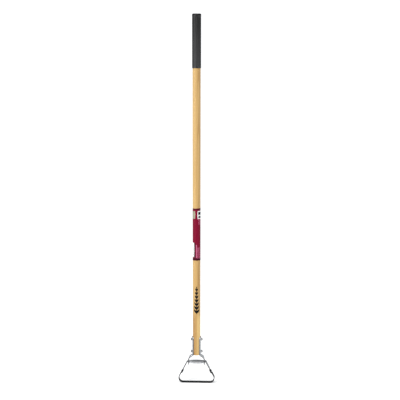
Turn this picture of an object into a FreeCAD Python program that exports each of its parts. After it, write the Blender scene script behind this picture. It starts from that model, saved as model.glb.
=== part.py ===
import FreeCAD, Part

import os
import re

import Sketcher

# Stirrup hoe with a wooden handle, a rubber grip and a head that rocks.
#
# Millimetres. The origin is the middle of the blade's sole, +Z runs up the handle, X runs
# along the cutting edges and Y is the way the hoe is pushed and pulled.
# The handle, grip, label, straps, bolts and nuts are one rigid body. The frame, the blade
# and the rivets are the other one, which rocks in the slots of the two straps.

SIZES = [
    # handle
    ("handle_length", 1371.6, "wooden handle, end to end"),
    ("handle_end_dia", 30.6, "diameter at the head"),
    ("handle_top_dia", 32.4, "diameter under the grip"),
    ("handle_end_round", 3.0, "rounding of the lower end"),
    ("straight_end", 150.0, "length that keeps the head diameter"),
    ("straight_top", 400.0, "length that keeps the grip diameter"),
    # grip
    ("grip_length", 214.0, "rubber grip, end to end"),
    ("grip_dia", 36.0, "outside diameter at the open end"),
    ("rim_dia", 37.0, "outside diameter of the rim at the closed end"),
    ("rim_step", 0.35, "drop from that rim to the fluted part"),
    ("grip_cap", 3.0, "rubber over the handle's end"),
    ("grip_shoulder", 5.0, "rounding of the closed end"),
    ("grip_lip_round", 1.2, "rounding of the open end"),
    ("grip_ease", 0.05, "gap between handle and rubber"),
    ("top_rim", 13.0, "plain length at the closed end, rounding included"),
    ("base_rim", 7.0, "plain length at the open end"),
    ("flute_count", 12, "flutes round the grip"),
    ("flute_radius", 3.6, "radius of a flute's cutter"),
    ("flute_depth", 0.9, "depth of a flute"),
    # label
    ("label_length", 212.2, "film round the handle"),
    ("label_rise", 391.3, "from the handle's lower end to the film"),
    ("film", 0.25, "thickness of the film"),
    ("film_ease", 0.1, "gap between wood and film"),
    # straps
    ("strap_thick", 3.0, "steel of the two straps"),
    ("seat_gap", 0.1, "gap between handle and strap"),
    ("wrap_angle", 45.0, "half of the angle that a strap wraps, in degrees"),
    ("strap_past_bolt", 12.0, "strap above the upper bolt"),
    ("end_margin", 0.4, "radius of the strap's end past its half width"),
    ("top_bend", 6.0, "radius of the bend away from the handle"),
    ("low_bend", 18.0, "radius of the bend back to the vertical"),
    ("splay_run", 3.8, "straight length between the two bends"),
    ("arm_rise", 10.4, "flat arm above the pivot"),
    ("arm_drop", 12.0, "flat arm below the pivot"),
    ("arm_corner", 9.0, "corner radius of the arm"),
    ("arm_web", 6.5, "steel on each side of the slot"),
    ("end_drop", 6.1, "handle below the first bend"),
    # bolts and nuts
    ("bolt_dia", 6.0, "shank of the bolts"),
    ("bolt_ease", 0.15, "gap round a shank, on the radius"),
    ("bolt_rise", 15.0, "from the handle's lower end to the lower bolt"),
    ("bolt_spacing", 50.0, "between the two bolts"),
    ("bolt_tip", 2.0, "bolt past its nut"),
    ("bolt_point", 0.8, "chamfer of the bolt's point"),
    ("hex_flats", 10.0, "across the flats of head and nut"),
    ("head_height", 4.0, "bolt head"),
    ("nut_height", 5.0, "nut"),
    ("seat_radius", 6.4, "flat pressed for a head or a nut"),
    ("seat_depth", 0.75, "depth of that flat"),
    # frame
    ("pivot_height", 87.0, "pivot above the blade's sole"),
    ("frame_width", 25.0, "strip of the frame"),
    ("frame_thick", 3.0, "steel of the frame"),
    ("bend_radius", 3.5, "inside radius of the frame's corners"),
    ("bend_play", 1.5, "from a strap to the start of a corner"),
    ("shoulder_play", 1.0, "from a strap to the crossbar's shoulder"),
    ("swing_angle", 12.0, "rocking each way, in degrees"),
    ("slot_play", 0.15, "gap over and under the frame at full swing"),
    ("slot_side_play", 1.0, "gap beside the frame in the slot"),
    ("slot_corner", 0.9, "corner radius of the slot"),
    ("shoulder_step", 3.0, "crossbar's shoulder past the strip, on each side"),
    ("bar_swell", 6.0, "crossbar's middle past its shoulders, on each side"),
    ("bar_lip", 6.0, "height of the crossbar's turned edges"),
    ("bar_round", 2.4, "outside radius of the turned edges"),
    ("joggle_run", 4.5, "length over which a leg steps in"),
    ("joggle_gap", 0.6, "from the step to the blade's end"),
    ("joggle_bend", 2.0, "radius of the step's bends"),
    ("leg_end_round", 5.0, "corner radius of the legs' ends"),
    # blade
    ("blade_span", 146.0, "overall width"),
    ("side_angle", 27.5, "lean of the sides, in degrees"),
    ("corner_radius", 18.8, "outside radius of the blade's corners"),
    ("blade_width", 25.4, "strip of the blade"),
    ("blade_thick", 2.5, "steel of the blade"),
    ("bevel", 2.8, "width of the ground bevels"),
    ("edge_thick", 0.8, "steel left at the cutting edges"),
    ("blade_rise", 53.0, "height of the blade's ends"),
    ("blade_end_round", 3.0, "corner radius of the blade's ends"),
    # rivets
    ("lap", 14.0, "frame and blade overlap"),
    ("lap_gap", 0.05, "gap between frame and blade"),
    ("rivet_in", 7.0, "rivet from the blade's end"),
    ("rivet_dia", 6.0, "shank of the rivets"),
    ("rivet_ease", 0.1, "gap round a rivet, on the radius"),
    ("dome_dia", 11.0, "outer head"),
    ("dome_height", 2.2, "outer head"),
    ("buck_dia", 9.5, "inner head"),
    ("buck_height", 1.8, "inner head"),
]

WORKED = [
    # The outer face of a side is the line at this distance from the origin.
    ("side_reach", "(blade_span / 2 - corner_radius) * cos(side_angle)"
                   " + corner_radius * (1 + sin(side_angle))"),
    # crossbar, corners and straps
    ("bar_top", "pivot_height + frame_thick / 2"),
    ("bar_under", "pivot_height - frame_thick / 2"),
    ("corner_out", "(side_reach - bar_top * sin(side_angle)) / cos(side_angle)"),
    ("corner_in", "(side_reach - frame_thick - bar_under * sin(side_angle)) / cos(side_angle)"),
    ("corner_tangent", "(bend_radius + frame_thick) * tan((90 - side_angle) / 2)"),
    ("arm_outer", "corner_out - corner_tangent - bend_play"),
    ("arm_inner", "arm_outer - strap_thick"),
    ("shoulder", "arm_inner - shoulder_play"),
    ("bar_side", "frame_width / 2 + shoulder_step"),
    ("bar_radius", "(shoulder ^ 2 + bar_swell ^ 2) / (2 * bar_swell)"),
    ("slot_half_height", "frame_width / 2 * sin(swing_angle)"
                         " + frame_thick / 2 * cos(swing_angle) + slot_play"),
    ("slot_half_width", "frame_width / 2 + slot_side_play"),
    ("arm_half_width", "slot_half_width + arm_web"),
    ("arm_top", "pivot_height + arm_rise"),
    ("arm_bottom", "pivot_height - arm_drop"),
    # channel of a strap round the handle
    ("channel_in", "handle_end_dia / 2 + seat_gap"),
    ("channel_out", "channel_in + strap_thick"),
    ("channel_half", "(channel_in + strap_thick / 2) * wrap_angle * pi / 180"),
    # The splay's angle follows from how far the arm stands out from the channel.
    ("splay_out", "arm_inner - channel_in"),
    ("bends", "top_bend + low_bend"),
    ("splay_angle", "acos((bends - splay_out) / sqrt(bends ^ 2 + splay_run ^ 2)) / 1deg"
                    " - atan(splay_run / bends) / 1deg"),
    ("splay_top", "arm_top + bends * sin(splay_angle) + splay_run * cos(splay_angle)"),
    # handle and what stands on it
    ("handle_base", "splay_top - end_drop"),
    ("handle_tip", "handle_base + handle_length"),
    ("taper_start", "handle_base + straight_end"),
    ("taper_end", "handle_tip - straight_top"),
    ("taper", "(handle_top_dia - handle_end_dia) / 2 / (taper_end - taper_start)"),
    ("grip_bore", "handle_top_dia / 2 + grip_ease"),
    ("grip_tip", "handle_tip + grip_cap"),
    ("grip_base", "grip_tip - grip_length"),
    ("label_base", "handle_base + label_rise"),
    ("label_top", "label_base + label_length"),
    ("label_base_radius", "handle_end_dia / 2 + (label_base - taper_start) * taper + film_ease"),
    ("label_top_radius", "handle_end_dia / 2 + (label_top - taper_start) * taper + film_ease"),
    # bolts
    ("lower_bolt_height", "handle_base + bolt_rise"),
    ("upper_bolt_height", "lower_bolt_height + bolt_spacing"),
    ("bolt_hole", "bolt_dia / 2 + bolt_ease"),
    ("strap_top", "upper_bolt_height + strap_past_bolt"),
    ("strap_end_radius", "channel_out * sin(wrap_angle) + end_margin"),
    ("seat", "channel_out - seat_depth"),
    ("shank_length", "2 * seat + nut_height + bolt_tip"),
    # Places on a side are measured along it, up from the foot of that line's normal.
    ("blade_end", "(blade_rise - side_reach * sin(side_angle)) / cos(side_angle)"),
    ("rivet_at", "blade_end - rivet_in"),
    ("leg_end", "blade_end - lap"),
    ("step_low", "blade_end + joggle_gap"),
    ("step_high", "step_low + joggle_run"),
    ("step_depth", "blade_thick + lap_gap"),
    ("step_shift", "frame_thick * tan(atan(step_depth / joggle_run) / 2)"),
    ("lap_face", "side_reach - blade_thick"),
    ("rivet_hole", "rivet_dia / 2 + rivet_ease"),
    ("dome_radius", "(dome_dia ^ 2 / 4 + dome_height ^ 2) / (2 * dome_height)"),
    ("buck_radius", "(buck_dia ^ 2 / 4 + buck_height ^ 2) / (2 * buck_height)"),
]

ALONG_Y = FreeCAD.Vector(0, 1, 0)
SHEET_OF = {name: "sizes." for name, *_ in SIZES}
SHEET_OF.update({name: "worked." for name, _ in WORKED})

doc = FreeCAD.newDocument("stirrup_hoe")


def spelled(text):
    """The expression with each size's name led by the sheet that holds it."""
    return re.sub(r"[a-z_]+", lambda word: SHEET_OF.get(word[0], "") + word[0], text)


def fill_sheets():
    sizes = doc.addObject("Spreadsheet::Sheet", "sizes")
    for row, (name, number, note) in enumerate(SIZES, 1):
        sizes.set(f"A{row}", note)
        sizes.set(f"B{row}", str(number))
        sizes.setAlias(f"B{row}", name)
    doc.recompute()
    worked = doc.addObject("Spreadsheet::Sheet", "worked")
    for row, (name, formula) in enumerate(WORKED, 1):
        worked.set(f"A{row}", name)
        worked.set(f"B{row}", "=" + spelled(formula))
        worked.setAlias(f"B{row}", name)
        doc.recompute()
    return sizes


def value(text):
    """The number that an expression in the sizes comes to."""
    found = sheet.evalExpression(spelled(text))
    return float(getattr(found, "Value", found))


def bind(thing, **expressions):
    for name, text in expressions.items():
        thing.setExpression(name.replace("__", "."), spelled(text))


def new_body(name):
    body = doc.addObject("PartDesign::Body", name)
    body.Label = name
    return body


def origin_feature(body, role):
    return next(feature for feature in body.Origin.OriginFeatures if feature.Role == role)


def new_sketch(body, plane, name, offset="0"):
    """A sketch on one of the body's own planes, moved along its normal."""
    sketch = body.newObject("Sketcher::SketchObject", name)
    sketch.AttachmentSupport = [(origin_feature(body, plane), "")]
    sketch.MapMode = "FlatFace"
    if offset != "0":
        bind(sketch, AttachmentOffset__Base__z=offset)
    return sketch


def fix_point(sketch, piece, point, across, up):
    """Hold one end (1, 2) or the centre (3) of a sketch piece at two expressions."""
    for kind, text, axis in (("DistanceX", across, -2), ("DistanceY", up, -1)):
        if text == "0":
            sketch.addConstraint(Sketcher.Constraint("PointOnObject", piece, point, axis))
            continue
        link = Sketcher.Constraint(kind, -1, 1, piece, point, value(text))
        number = sketch.addConstraint(link)
        sketch.setExpression(f"Constraints[{number}]", spelled(text))


def fix_radius(sketch, piece, radius):
    number = sketch.addConstraint(Sketcher.Constraint("Radius", piece, value(radius)))
    sketch.setExpression(f"Constraints[{number}]", spelled(radius))


def arc_through(start, end, radius, side):
    """The short arc between two points that bulges to the right (1) or left (-1)."""
    chord = end - start
    middle = (start + end) / 2
    normal = FreeCAD.Vector(chord.y, -chord.x, 0).normalize() * side
    rise = radius - (radius ** 2 - chord.Length ** 2 / 4) ** 0.5
    return Part.Arc(start, middle + normal * rise, end)


def draw_outline(sketch, corners, arcs=None):
    """A closed outline. corners are pairs of expressions; arcs maps a corner's number to
    the radius and the side of the arc that leads on from it."""
    arcs = arcs or {}
    points = [FreeCAD.Vector(value(across), value(up), 0) for across, up in corners]
    count = len(points)
    for number, start in enumerate(points):
        end = points[(number + 1) % count]
        if number in arcs:
            radius, side = arcs[number]
            sketch.addGeometry(arc_through(start, end, value(radius), side))
        else:
            sketch.addGeometry(Part.LineSegment(start, end))
    # An arc's own start and end follow its direction of turn, so ends are met by place.
    ends = []
    for number, start in enumerate(points):
        first = sketch.getPoint(number, 1)
        ends.append((1, 2) if first.distanceToPoint(start) < 1e-6 else (2, 1))
    for number in range(count):
        after = (number + 1) % count
        join = Sketcher.Constraint("Coincident", number, ends[number][1], after, ends[after][0])
        sketch.addConstraint(join)
    for number, (across, up) in enumerate(corners):
        fix_point(sketch, number, ends[number][0], across, up)
    for number, (radius, _) in arcs.items():
        fix_radius(sketch, number, radius)


def draw_circle(sketch, across, up, radius):
    centre = FreeCAD.Vector(value(across), value(up), 0)
    circle = Part.Circle(centre, FreeCAD.Vector(0, 0, 1), value(radius))
    piece = sketch.addGeometry(circle)
    fix_point(sketch, piece, 3, across, up)
    fix_radius(sketch, piece, radius)


def feature(body, kind, name, sketch, **settings):
    made = body.newObject("PartDesign::" + kind, name)
    made.Profile = sketch
    for key, setting in settings.items():
        setattr(made, key, setting)
    return made


def pad(body, name, sketch, length, **settings):
    made = feature(body, "Pad", name, sketch, **settings)
    bind(made, Length=length)
    doc.recompute()
    return made


def cut(body, name, sketch, length=None, **settings):
    """A pocket of a length, or through everything. It has to take steel away."""
    before = body.Shape.Volume
    made = feature(body, "Pocket", name, sketch, **settings)
    if length is None:
        made.Type = "ThroughAll"
    else:
        bind(made, Length=length)
    doc.recompute()
    if not body.Shape.Volume < before - 1e-6:
        raise RuntimeError(f"{body.Label}: {name} cuts nothing")
    return made


def turn(body, name, corners, arcs=None):
    """A body of revolution about Z from an outline of radius and height."""
    sketch = new_sketch(body, "XZ_Plane", name + "_outline")
    draw_outline(sketch, corners, arcs)
    turned = feature(body, "Revolution", name, sketch)
    turned.ReferenceAxis = (sketch, ["V_Axis"])
    turned.Angle = 360
    doc.recompute()
    return turned


def edges_at(base, points):
    """Names of the edges of a feature whose middles lie at the given points."""
    names = []
    for point in points:
        near = min(
            range(len(base.Shape.Edges)),
            key=lambda number: base.Shape.Edges[number].CenterOfMass.distanceToPoint(point),
        )
        if base.Shape.Edges[near].CenterOfMass.distanceToPoint(point) > 0.05:
            raise RuntimeError(f"{base.Label}: no edge at {point}")
        names.append(f"Edge{near + 1}")
    return names


def round_edges(body, name, base, points, radius):
    made = body.newObject("PartDesign::Fillet", name)
    made.Base = (base, edges_at(base, points))
    bind(made, Radius=radius)
    doc.recompute()
    return made


def side_point(reach, along, sign=1):
    """Expressions for a point of a side: its distance out from the origin along the
    side's normal, and its distance up along the side."""
    across = f"({reach}) * cos(side_angle) - ({along}) * sin(side_angle)"
    up = f"({reach}) * sin(side_angle) + ({along}) * cos(side_angle)"
    return (across if sign > 0 else f"-({across})", up)


def make_handle():
    body = new_body("handle")
    corners = [
        ("0", "handle_base"),
        ("handle_end_dia / 2 - handle_end_round", "handle_base"),
        ("handle_end_dia / 2", "handle_base + handle_end_round"),
        ("handle_end_dia / 2", "taper_start"),
        ("handle_top_dia / 2", "taper_end"),
        ("handle_top_dia / 2", "handle_tip"),
        ("0", "handle_tip"),
    ]
    turn(body, "turning", corners, {1: ("handle_end_round", 1)})
    holes = new_sketch(body, "YZ_Plane", "bolt_holes_outline")
    for height in ("lower_bolt_height", "upper_bolt_height"):
        draw_circle(holes, "0", height, "bolt_hole")
    cut(body, "bolt_holes", holes, Midplane=True)
    return body


def make_grip():
    body = new_body("grip")
    outside = "grip_dia / 2"
    rim = "rim_dia / 2"
    corners = [
        ("grip_bore", "grip_base"),
        (f"{outside} - grip_lip_round", "grip_base"),
        (outside, "grip_base + grip_lip_round"),
        (f"{rim} - rim_step", "grip_tip - top_rim"),
        (rim, "grip_tip - top_rim"),
        (rim, "grip_tip - grip_shoulder"),
        (f"{rim} - grip_shoulder", "grip_tip"),
        ("0", "grip_tip"),
        ("0", "handle_tip"),
        ("grip_bore", "handle_tip"),
    ]
    arcs = {1: ("grip_lip_round", 1), 5: ("grip_shoulder", 1)}
    turn(body, "sleeve", corners, arcs)
    flute = new_sketch(body, "XY_Plane", "flute_outline", "grip_base + base_rim")
    draw_circle(flute, f"{outside} + flute_radius - flute_depth", "0", "flute_radius")
    groove = cut(body, "flute", flute, "grip_length - base_rim - top_rim", Reversed=True)
    ring = body.newObject("PartDesign::PolarPattern", "flutes")
    ring.Originals = [groove]
    ring.Axis = (origin_feature(body, "Z_Axis"), [""])
    ring.Angle = 360
    bind(ring, Occurrences="flute_count")
    body.Tip = ring
    doc.recompute()
    return body


def make_label():
    body = new_body("label")
    corners = [
        ("label_base_radius", "label_base"),
        ("label_base_radius + film", "label_base"),
        ("label_top_radius + film", "label_top"),
        ("label_top_radius", "label_top"),
    ]
    turn(body, "film_sleeve", corners)
    return body


def draw_sector(sketch, radius, half):
    """A bent strip's section: inner radius, and half its width along the middle. The
    middle of its thickness is at the sketch's origin."""
    centre = f"-(strap_thick / 2 + {radius})"
    spread = f"({half}) / ({radius} + strap_thick / 2) * 180 / pi"
    outer = f"({radius} + strap_thick)"
    corners = []
    for reach, sign in ((radius, "-"), (outer, "-"), (outer, ""), (radius, "")):
        across = f"{centre} + {reach} * cos({spread})"
        corners.append((across, f"{sign}{reach} * sin({spread})"))
    draw_outline(sketch, corners, {1: (outer, 1), 3: (radius, -1)})


def draw_flat_section(sketch, half):
    corners = [
        ("-strap_thick / 2", f"-{half}"),
        ("strap_thick / 2", f"-{half}"),
        ("strap_thick / 2", half),
        ("-strap_thick / 2", half),
    ]
    draw_outline(sketch, corners)


def splay_sections(body):
    """Sections of the strap square to its way from the channel out to the flat arm. Each
    has its share of the splay's angle, and its share of the way from curved to flat."""
    upper = [(0.0, 0.0), (0.5, 0.12), (1.0, 0.28)]
    lower = [(1.0, 0.5), (0.66, 0.72), (0.33, 0.9), (0.0, 1.0)]
    stations = []
    for turned, flattened in upper:
        angle = f"(splay_angle * {turned})"
        across = f"channel_in + strap_thick / 2 + top_bend * (1 - cos({angle}))"
        stations.append((angle, across, f"splay_top - top_bend * sin({angle})", flattened))
    for turned, flattened in lower:
        angle = f"(splay_angle * {turned})"
        across = f"arm_inner + strap_thick / 2 - low_bend * (1 - cos({angle}))"
        stations.append((angle, across, f"arm_top + low_bend * sin({angle})", flattened))
    sections = []
    for number, (angle, across, height, flattened) in enumerate(stations):
        sketch = new_sketch(body, "XY_Plane", f"splay_section_{number}")
        turned = FreeCAD.Rotation(ALONG_Y, -value(angle))
        place = FreeCAD.Vector(value(across), 0, value(height))
        sketch.AttachmentOffset = FreeCAD.Placement(place, turned)
        bind(sketch, AttachmentOffset__Base__x=across, AttachmentOffset__Base__z=height)
        half = f"(channel_half + (arm_half_width - channel_half) * {flattened})"
        if flattened == 1.0:
            draw_flat_section(sketch, half)
        else:
            draw_sector(sketch, f"(channel_in / {1 - flattened:.2f})", half)
        sections.append(sketch)
    doc.recompute()
    return sections


def make_strap(name, left):
    body = new_body(name)
    sections = splay_sections(body)
    splay = feature(body, "AdditiveLoft", "splay", sections[0], Sections=sections[1:])
    splay.Ruled = False
    doc.recompute()

    channel = new_sketch(body, "XY_Plane", "channel_outline", "splay_top")
    bind(channel, AttachmentOffset__Base__x="channel_in + strap_thick / 2")
    draw_sector(channel, "channel_in", "channel_half")
    pad(body, "channel", channel, "strap_top - splay_top")

    arm = new_sketch(body, "YZ_Plane", "arm_outline", "arm_inner")
    corners = [
        ("-arm_half_width", "arm_top"),
        ("-arm_half_width", "arm_bottom + arm_corner"),
        ("-arm_half_width + arm_corner", "arm_bottom"),
        ("arm_half_width - arm_corner", "arm_bottom"),
        ("arm_half_width", "arm_bottom + arm_corner"),
        ("arm_half_width", "arm_top"),
    ]
    draw_outline(arm, corners, {1: ("arm_corner", 1), 3: ("arm_corner", 1)})
    pad(body, "arm", arm, "strap_thick")

    slot = new_sketch(body, "YZ_Plane", "slot_outline")
    low = "pivot_height - slot_half_height"
    high = "pivot_height + slot_half_height"
    corners = [
        ("-slot_half_width + slot_corner", low),
        ("slot_half_width - slot_corner", low),
        ("slot_half_width", f"{low} + slot_corner"),
        ("slot_half_width", f"{high} - slot_corner"),
        ("slot_half_width - slot_corner", high),
        ("-slot_half_width + slot_corner", high),
        ("-slot_half_width", f"{high} - slot_corner"),
        ("-slot_half_width", f"{low} + slot_corner"),
    ]
    draw_outline(slot, corners, {number: ("slot_corner", 1) for number in (1, 3, 5, 7)})
    cut(body, "slot", slot, Reversed=True)

    arch = new_sketch(body, "YZ_Plane", "top_end_outline")
    spring = "strap_top - strap_end_radius"
    corners = [
        ("strap_end_radius", spring),
        ("2 * strap_end_radius", spring),
        ("2 * strap_end_radius", "strap_top + strap_end_radius"),
        ("-2 * strap_end_radius", "strap_top + strap_end_radius"),
        ("-2 * strap_end_radius", spring),
        ("-strap_end_radius", spring),
        ("0", "strap_top"),
    ]
    quarter = ("strap_end_radius", -1)
    draw_outline(arch, corners, {5: quarter, 6: quarter})
    cut(body, "top_end", arch, Reversed=True)

    holes = new_sketch(body, "YZ_Plane", "bolt_holes_outline")
    seats = new_sketch(body, "YZ_Plane", "seats_outline", "seat")
    for height in ("lower_bolt_height", "upper_bolt_height"):
        draw_circle(holes, "0", height, "bolt_hole")
        draw_circle(seats, "0", height, "seat_radius")
    cut(body, "bolt_holes", holes, Reversed=True)
    cut(body, "seats", seats, Reversed=True)
    if left:
        body.Placement.Rotation = FreeCAD.Rotation(FreeCAD.Vector(0, 0, 1), 180)
    return body


def make_crossbar(body):
    """The middle of the frame: wider than its strip, with both long edges turned down."""
    def lens(name, height, half_width):
        """The crossbar's outline on a level, with its long edges bowed outwards."""
        outline = new_sketch(body, "XY_Plane", name, height)
        corners = [
            ("-shoulder", f"-({half_width})"),
            ("shoulder", f"-({half_width})"),
            ("shoulder", half_width),
            ("-shoulder", half_width),
        ]
        draw_outline(outline, corners, {0: ("bar_radius", 1), 2: ("bar_radius", 1)})
        return outline

    block = pad(body, "tray", lens("tray_outline", "bar_top - bar_lip", "bar_side"), "bar_lip")
    arcs = []
    for sign in (-1, 1):
        bow = FreeCAD.Vector(0, sign * value("bar_side + bar_swell"), value("bar_top"))
        for number, edge in enumerate(block.Shape.Edges, 1):
            half_way = edge.valueAt((edge.FirstParameter + edge.LastParameter) / 2)
            if half_way.distanceToPoint(bow) < 0.01:
                arcs.append(f"Edge{number}")
    turned = body.newObject("PartDesign::Fillet", "turned_edges")
    turned.Base = (block, arcs)
    bind(turned, Radius="bar_round")
    doc.recompute()
    cut(body, "hollow", lens("hollow_outline", "bar_under", "bar_side - frame_thick"), "bar_lip")


def make_frame():
    body = new_body("stirrup_frame")
    far = "side_reach - step_depth"
    right = [
        ("corner_out", "bar_top"),
        side_point("side_reach", "step_high"),
        side_point(far, "step_low"),
        side_point(far, "leg_end"),
        side_point(f"{far} - frame_thick", "leg_end"),
        side_point(f"{far} - frame_thick", "step_low + step_shift"),
        side_point("side_reach - frame_thick", "step_high + step_shift"),
        ("corner_in", "bar_under"),
    ]
    left = [(f"-({across})", up) for across, up in reversed(right)]
    strip = new_sketch(body, "XZ_Plane", "strip_outline")
    draw_outline(strip, right + left)
    bar = pad(body, "strip", strip, "frame_width", Midplane=True)

    radii = {0: "bend_radius + frame_thick", 7: "bend_radius"}
    radii.update({1: "joggle_bend", 2: "joggle_bend", 5: "joggle_bend", 6: "joggle_bend"})
    for radius in sorted(set(radii.values())):
        points = []
        for number, text in radii.items():
            if text == radius:
                across, height = value(right[number][0]), value(right[number][1])
                points += [FreeCAD.Vector(sign * across, 0, height) for sign in (-1, 1)]
        name = "bends_" + radius.split()[0] + ("_out" if "+" in radius else "")
        bar = round_edges(body, name, bar, points, radius)

    ends = []
    reach = f"{far} - frame_thick / 2"
    for sign in (-1, 1):
        across, height = (value(text) for text in side_point(reach, "leg_end", sign))
        half = value("frame_width / 2")
        ends += [FreeCAD.Vector(across, half * way, height) for way in (-1, 1)]
    round_edges(body, "leg_ends", bar, ends, "leg_end_round")
    make_crossbar(body)
    drill_rivet_holes(body)
    return body


def drill_rivet_holes(body):
    """One hole on each side, square to the lap, through whatever the body has there."""
    across, height = side_point("lap_face", "rivet_at")
    length = "4 * (frame_thick + blade_thick)"
    for name, sign in (("left", -1), ("right", 1)):
        before = body.Shape.Volume
        drill = body.newObject("PartDesign::SubtractiveCylinder", f"rivet_hole_{name}")
        drill.AttachmentSupport = [(origin_feature(body, "XY_Plane"), "")]
        drill.MapMode = "FlatFace"
        place_on_lap(drill, "AttachmentOffset", sign, f"-{length} / 2")
        bind(drill, Radius="rivet_hole", Height=length)
        doc.recompute()
        if not body.Shape.Volume < before - 1:
            raise RuntimeError(f"{body.Label}: no rivet hole at {across}, {height}")


def place_on_lap(thing, placement, sign, shift="0"):
    """Stand a thing's own Z square to the lap, at the rivet, moved along that Z."""
    across, height = side_point(f"lap_face + {shift}", "rivet_at", sign)
    turned = FreeCAD.Rotation(ALONG_Y, sign * (90 - value("side_angle")))
    place = FreeCAD.Vector(value(across), 0, value(height))
    setattr(thing, placement, FreeCAD.Placement(place, turned))
    bind(thing, **{f"{placement}__Base__x": across, f"{placement}__Base__z": height})


def make_blade():
    body = new_body("blade")
    spine = new_sketch(body, "XZ_Plane", "spine")
    start = FreeCAD.Vector(0, 0, 0)
    foot = FreeCAD.Vector(value("blade_span / 2 - corner_radius"), 0, 0)
    across, up = side_point("side_reach", "blade_end")
    end = FreeCAD.Vector(value(across), value(up), 0)
    tangent = [value(text) for text in side_point("side_reach", SIDE_START)]
    tangent = FreeCAD.Vector(*tangent, 0)
    half_turn = (90 + value("side_angle")) / 2
    centre = foot + FreeCAD.Vector(0, value("corner_radius"), 0)
    outwards = FreeCAD.Rotation(FreeCAD.Vector(0, 0, 1), half_turn)
    middle = centre + outwards.multVec(foot - centre)
    spine.addGeometry(Part.LineSegment(start, foot))
    spine.addGeometry(Part.Arc(foot, middle, tangent))
    spine.addGeometry(Part.LineSegment(tangent, end))
    spine.addConstraint(Sketcher.Constraint("Coincident", 0, 1, -1, 1))
    spine.addConstraint(Sketcher.Constraint("Tangent", 0, 2, 1, 1))
    spine.addConstraint(Sketcher.Constraint("Tangent", 1, 2, 2, 1))
    fix_point(spine, 0, 2, "blade_span / 2 - corner_radius", "0")
    fix_radius(spine, 1, "corner_radius")
    fix_point(spine, 2, 2, across, up)

    section = new_sketch(body, "YZ_Plane", "section")
    corners = [
        ("-blade_width / 2", "0"),
        ("blade_width / 2", "0"),
        ("blade_width / 2", "edge_thick"),
        ("blade_width / 2 - bevel", "blade_thick"),
        ("-blade_width / 2 + bevel", "blade_thick"),
        ("-blade_width / 2", "edge_thick"),
    ]
    draw_outline(section, corners)
    doc.recompute()
    half = feature(body, "AdditivePipe", "half", section)
    half.Spine = (spine, ["Edge1", "Edge2", "Edge3"])
    doc.recompute()
    whole = body.newObject("PartDesign::Mirrored", "whole")
    whole.Originals = [half]
    whole.MirrorPlane = (origin_feature(body, "YZ_Plane"), [""])
    body.Tip = whole
    doc.recompute()

    corners = []
    for sign in (-1, 1):
        place = side_point("side_reach - edge_thick / 2", "blade_end", sign)
        across, height = (value(text) for text in place)
        half = value("blade_width / 2")
        corners += [FreeCAD.Vector(across, half * way, height) for way in (-1, 1)]
    round_edges(body, "end_corners", whole, corners, "blade_end_round")
    drill_rivet_holes(body)
    return body


SIDE_START = ("(corner_radius * (1 + sin(side_angle)) - side_reach * sin(side_angle))"
              " / cos(side_angle)")


def make_hex(name, height, chamfer_both):
    """A hexagon with its corners trimmed by a flat cone on one face or on both."""
    block = doc.addObject("Part::Prism", name + "_block")
    block.Polygon = 6
    bind(block, Circumradius="hex_flats / 2 / cos(30)", Height=height)
    shape = block
    for face in ("outer", "inner")[: 2 if chamfer_both else 1]:
        cone = doc.addObject("Part::Cone", f"{name}_{face}_cone")
        wide, narrow = ("Radius1", "Radius2") if face == "outer" else ("Radius2", "Radius1")
        steep = f"hex_flats / 2 + ({height}) * tan(60)"
        bind(cone, Height=height, **{wide: steep, narrow: "hex_flats / 2"})
        trimmed = doc.addObject("Part::Common", f"{name}_{face}_trim")
        trimmed.Base = shape
        trimmed.Tool = cone
        shape = trimmed
    return shape


def make_bolt(name, height):
    """A hexagon bolt along X, its head on the left and its point on the right."""
    head = make_hex(name + "_head", "head_height", False)
    shank = doc.addObject("Part::Cylinder", name + "_shank")
    bind(shank, Radius="bolt_dia / 2", Height="shank_length - bolt_point")
    shank.Placement.Rotation = FreeCAD.Rotation(ALONG_Y, 180)
    point = doc.addObject("Part::Cone", name + "_point")
    bind(point, Radius1="bolt_dia / 2", Radius2="bolt_dia / 2 - bolt_point", Height="bolt_point")
    point.Placement.Rotation = FreeCAD.Rotation(ALONG_Y, 180)
    bind(point, Placement__Base__z="-(shank_length - bolt_point)")
    bolt = doc.addObject("Part::MultiFuse", name)
    bolt.Label = name
    bolt.Shapes = [head, shank, point]
    bolt.Placement.Rotation = FreeCAD.Rotation(ALONG_Y, -90)
    bind(bolt, Placement__Base__x="-seat", Placement__Base__z=height)
    return bolt


def make_nut(name, height):
    block = make_hex(name + "_body", "nut_height", True)
    bore = doc.addObject("Part::Cylinder", name + "_bore")
    bind(bore, Radius="bolt_dia / 2 + 0.02", Height="nut_height")
    nut = doc.addObject("Part::Cut", name)
    nut.Label = name
    nut.Base = block
    nut.Tool = bore
    nut.Placement.Rotation = FreeCAD.Rotation(ALONG_Y, 90)
    bind(nut, Placement__Base__x="seat", Placement__Base__z=height)
    return nut


def make_rivet(name, sign):
    body = new_body(name)
    corners = [
        ("0", "-frame_thick - lap_gap - buck_height"),
        ("buck_dia / 2", "-frame_thick - lap_gap"),
        ("rivet_dia / 2", "-frame_thick - lap_gap"),
        ("rivet_dia / 2", "blade_thick"),
        ("dome_dia / 2", "blade_thick"),
        ("0", "blade_thick + dome_height"),
    ]
    turn(body, "shank_and_heads", corners, {0: ("buck_radius", 1), 4: ("dome_radius", 1)})
    place_on_lap(body, "Placement", sign)
    return body


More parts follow.
